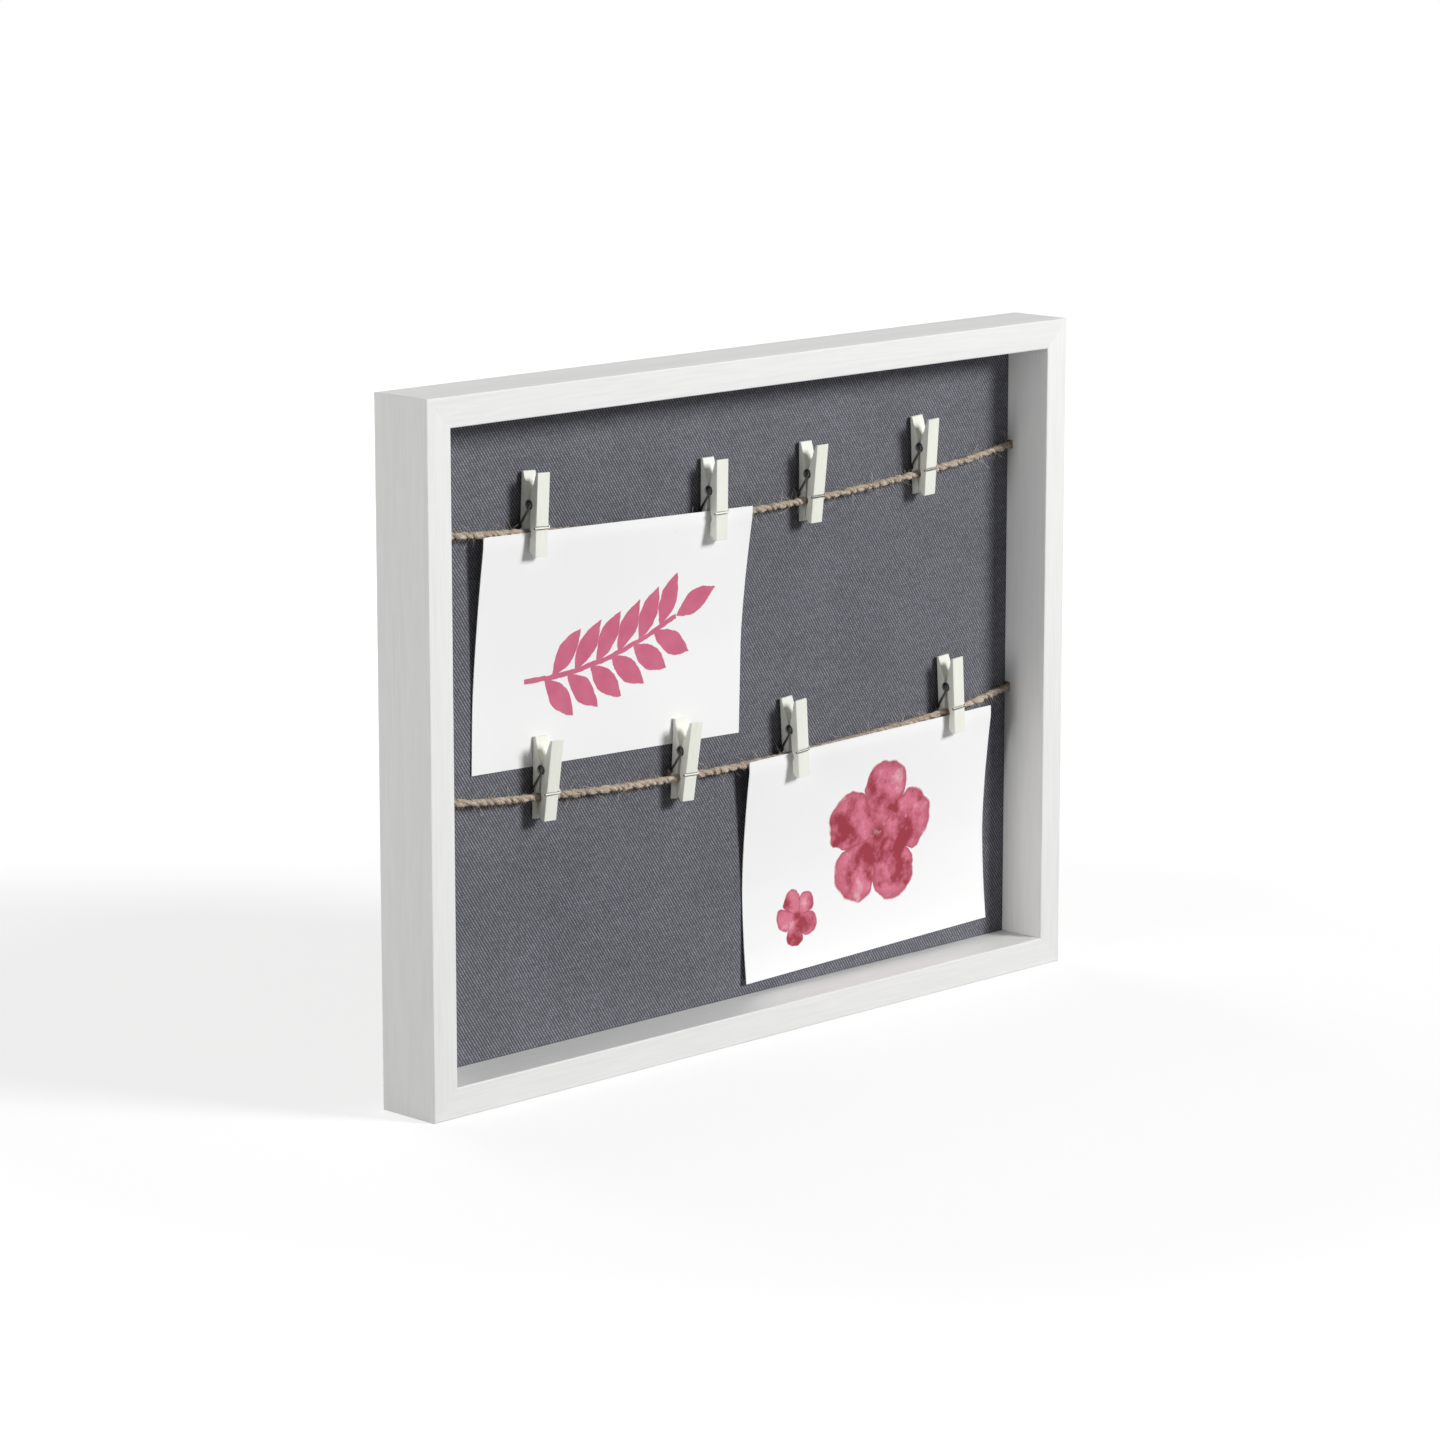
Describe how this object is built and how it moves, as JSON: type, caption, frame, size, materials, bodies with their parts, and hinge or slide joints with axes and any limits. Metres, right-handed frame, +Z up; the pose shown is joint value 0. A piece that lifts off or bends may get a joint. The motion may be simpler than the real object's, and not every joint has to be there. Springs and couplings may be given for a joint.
{
  "type": "picture frame",
  "caption": "Deep white picture frame with a grey canvas back, strung with twine on which small sprung wooden pegs slide and grip photo cards.",
  "frame": {"origin": "middle of the underside, halfway through the depth of the rails", "axes": "+X to the right seen from the front, +Y back towards the wall, +Z up"},
  "size_m": [0.39, 0.0337, 0.3],
  "materials": {
    "painted_rail": "white satin paint",
    "canvas": "coarse plain weave, slate grey",
    "hardboard": "raw pressed fibre",
    "twine": "raw jute",
    "painted_peg": "off-white matt paint",
    "spring_wire": "drawn wire",
    "card_paper": "satin photo card",
    "zinc_steel": "zinc plated"
  },
  "bodies": {
    "frame": {"rail_top": "painted_rail", "rail_bottom": "painted_rail", "rail_left": "painted_rail", "rail_right": "painted_rail", "corner_nail_top_left": "zinc_steel", "corner_nail_top_right": "zinc_steel", "corner_nail_bottom_left": "zinc_steel", "corner_nail_bottom_right": "zinc_steel", "panel_point_top_left": "zinc_steel", "panel_point_top_right": "zinc_steel", "panel_point_bottom_left": "zinc_steel", "panel_point_bottom_right": "zinc_steel", "panel_point_left_upper": "zinc_steel", "panel_point_left_lower": "zinc_steel", "panel_point_right_upper": "zinc_steel", "panel_point_right_lower": "zinc_steel", "hanger_nail_left": "zinc_steel", "hanger_nail_right": "zinc_steel", "saw_tooth_hanger": "zinc_steel", "back_board": "hardboard", "canvas_cover": "canvas", "twine_upper": "twine", "twine_lower": "twine", "card_upper": "card_paper", "card_lower": "card_paper"},
    "peg_1": {"peg_1_rear_leg": "painted_peg", "peg_1_spring": "spring_wire"},
    "peg_1_front": {"peg_1_front_leg": "painted_peg"},
    "peg_2": {"peg_2_rear_leg": "painted_peg", "peg_2_spring": "spring_wire"},
    "peg_2_front": {"peg_2_front_leg": "painted_peg"},
    "peg_3": {"peg_3_rear_leg": "painted_peg", "peg_3_spring": "spring_wire"},
    "peg_3_front": {"peg_3_front_leg": "painted_peg"},
    "peg_4": {"peg_4_rear_leg": "painted_peg", "peg_4_spring": "spring_wire"},
    "peg_4_front": {"peg_4_front_leg": "painted_peg"},
    "peg_5": {"peg_5_rear_leg": "painted_peg", "peg_5_spring": "spring_wire"},
    "peg_5_front": {"peg_5_front_leg": "painted_peg"},
    "peg_6": {"peg_6_rear_leg": "painted_peg", "peg_6_spring": "spring_wire"},
    "peg_6_front": {"peg_6_front_leg": "painted_peg"},
    "peg_7": {"peg_7_rear_leg": "painted_peg", "peg_7_spring": "spring_wire"},
    "peg_7_front": {"peg_7_front_leg": "painted_peg"},
    "peg_8": {"peg_8_rear_leg": "painted_peg", "peg_8_spring": "spring_wire"},
    "peg_8_front": {"peg_8_front_leg": "painted_peg"}
  },
  "joints": [
    {"name": "peg_1_slide", "type": "slide", "parent": "frame", "child": "peg_1", "axis": [0.9972, 0, -0.0751], "range_m": [-0.008, 0.012]},
    {"name": "peg_1_squeeze", "type": "hinge", "parent": "peg_1", "child": "peg_1_front", "pos_m": [-0.11942, 0.00188, 0.24742], "axis": [-0.9988, 0, 0.0489], "range_deg": [0, 16], "stiffness_Nm_per_rad": 0.03, "springref_deg": -40.11, "deforming": ["peg_1_spring"]},
    {"name": "peg_2_slide", "type": "slide", "parent": "frame", "child": "peg_2", "axis": [1, 0, -0.0091], "range_m": [-0.012, 0.012]},
    {"name": "peg_2_squeeze", "type": "hinge", "parent": "peg_2", "child": "peg_2_front", "pos_m": [-0.0139, 0.00188, 0.24198], "axis": [-1, 0, 0.0087], "range_deg": [0, 16], "stiffness_Nm_per_rad": 0.03, "springref_deg": -40.11, "deforming": ["peg_2_spring"]},
    {"name": "peg_3_slide", "type": "slide", "parent": "frame", "child": "peg_3", "axis": [0.9994, 0, 0.0347], "range_m": [-0.012, 0.012]},
    {"name": "peg_3_squeeze", "type": "hinge", "parent": "peg_3", "child": "peg_3_front", "pos_m": [0.047, 0.00188, 0.24282], "axis": [-1, 0, 0], "range_deg": [0, 22], "stiffness_Nm_per_rad": 0.03, "springref_deg": -34.38, "deforming": ["peg_3_spring"]},
    {"name": "peg_4_slide", "type": "slide", "parent": "frame", "child": "peg_4", "axis": [0.9967, 0, 0.0812], "range_m": [-0.012, 0.012]},
    {"name": "peg_4_squeeze", "type": "hinge", "parent": "peg_4", "child": "peg_4_front", "pos_m": [0.11942, 0.00188, 0.24712], "axis": [-0.9988, 0, -0.0489], "range_deg": [0, 22], "stiffness_Nm_per_rad": 0.03, "springref_deg": -34.38, "deforming": ["peg_4_spring"]},
    {"name": "peg_5_slide", "type": "slide", "parent": "frame", "child": "peg_5", "axis": [0.9972, 0, -0.0745], "range_m": [-0.012, 0.012]},
    {"name": "peg_5_squeeze", "type": "hinge", "parent": "peg_5", "child": "peg_5_front", "pos_m": [-0.11358, 0.00188, 0.13437], "axis": [-0.9994, 0, 0.0349], "range_deg": [0, 22], "stiffness_Nm_per_rad": 0.03, "springref_deg": -34.38, "deforming": ["peg_5_spring"]},
    {"name": "peg_6_slide", "type": "slide", "parent": "frame", "child": "peg_6", "axis": [0.9998, 0, -0.0209], "range_m": [-0.012, 0.012]},
    {"name": "peg_6_squeeze", "type": "hinge", "parent": "peg_6", "child": "peg_6_front", "pos_m": [-0.03138, 0.00188, 0.13035], "axis": [-0.9986, 0, 0.0523], "range_deg": [0, 22], "stiffness_Nm_per_rad": 0.03, "springref_deg": -34.38, "deforming": ["peg_6_spring"]},
    {"name": "peg_7_slide", "type": "slide", "parent": "frame", "child": "peg_7", "axis": [0.9997, 0, 0.0247], "range_m": [-0.012, 0.012]},
    {"name": "peg_7_squeeze", "type": "hinge", "parent": "peg_7", "child": "peg_7_front", "pos_m": [0.03617, 0.00188, 0.13046], "axis": [-0.9976, 0, -0.0698], "range_deg": [0, 16], "stiffness_Nm_per_rad": 0.03, "springref_deg": -40.11, "deforming": ["peg_7_spring"]},
    {"name": "peg_8_slide", "type": "slide", "parent": "frame", "child": "peg_8", "axis": [0.9967, 0, 0.0817], "range_m": [-0.012, 0.006]},
    {"name": "peg_8_squeeze", "type": "hinge", "parent": "peg_8", "child": "peg_8_front", "pos_m": [0.13827, 0.00169, 0.13563], "axis": [-0.9981, 0, -0.061], "range_deg": [0, 16], "stiffness_Nm_per_rad": 0.03, "springref_deg": -40.11, "deforming": ["peg_8_spring"]}
  ]
}
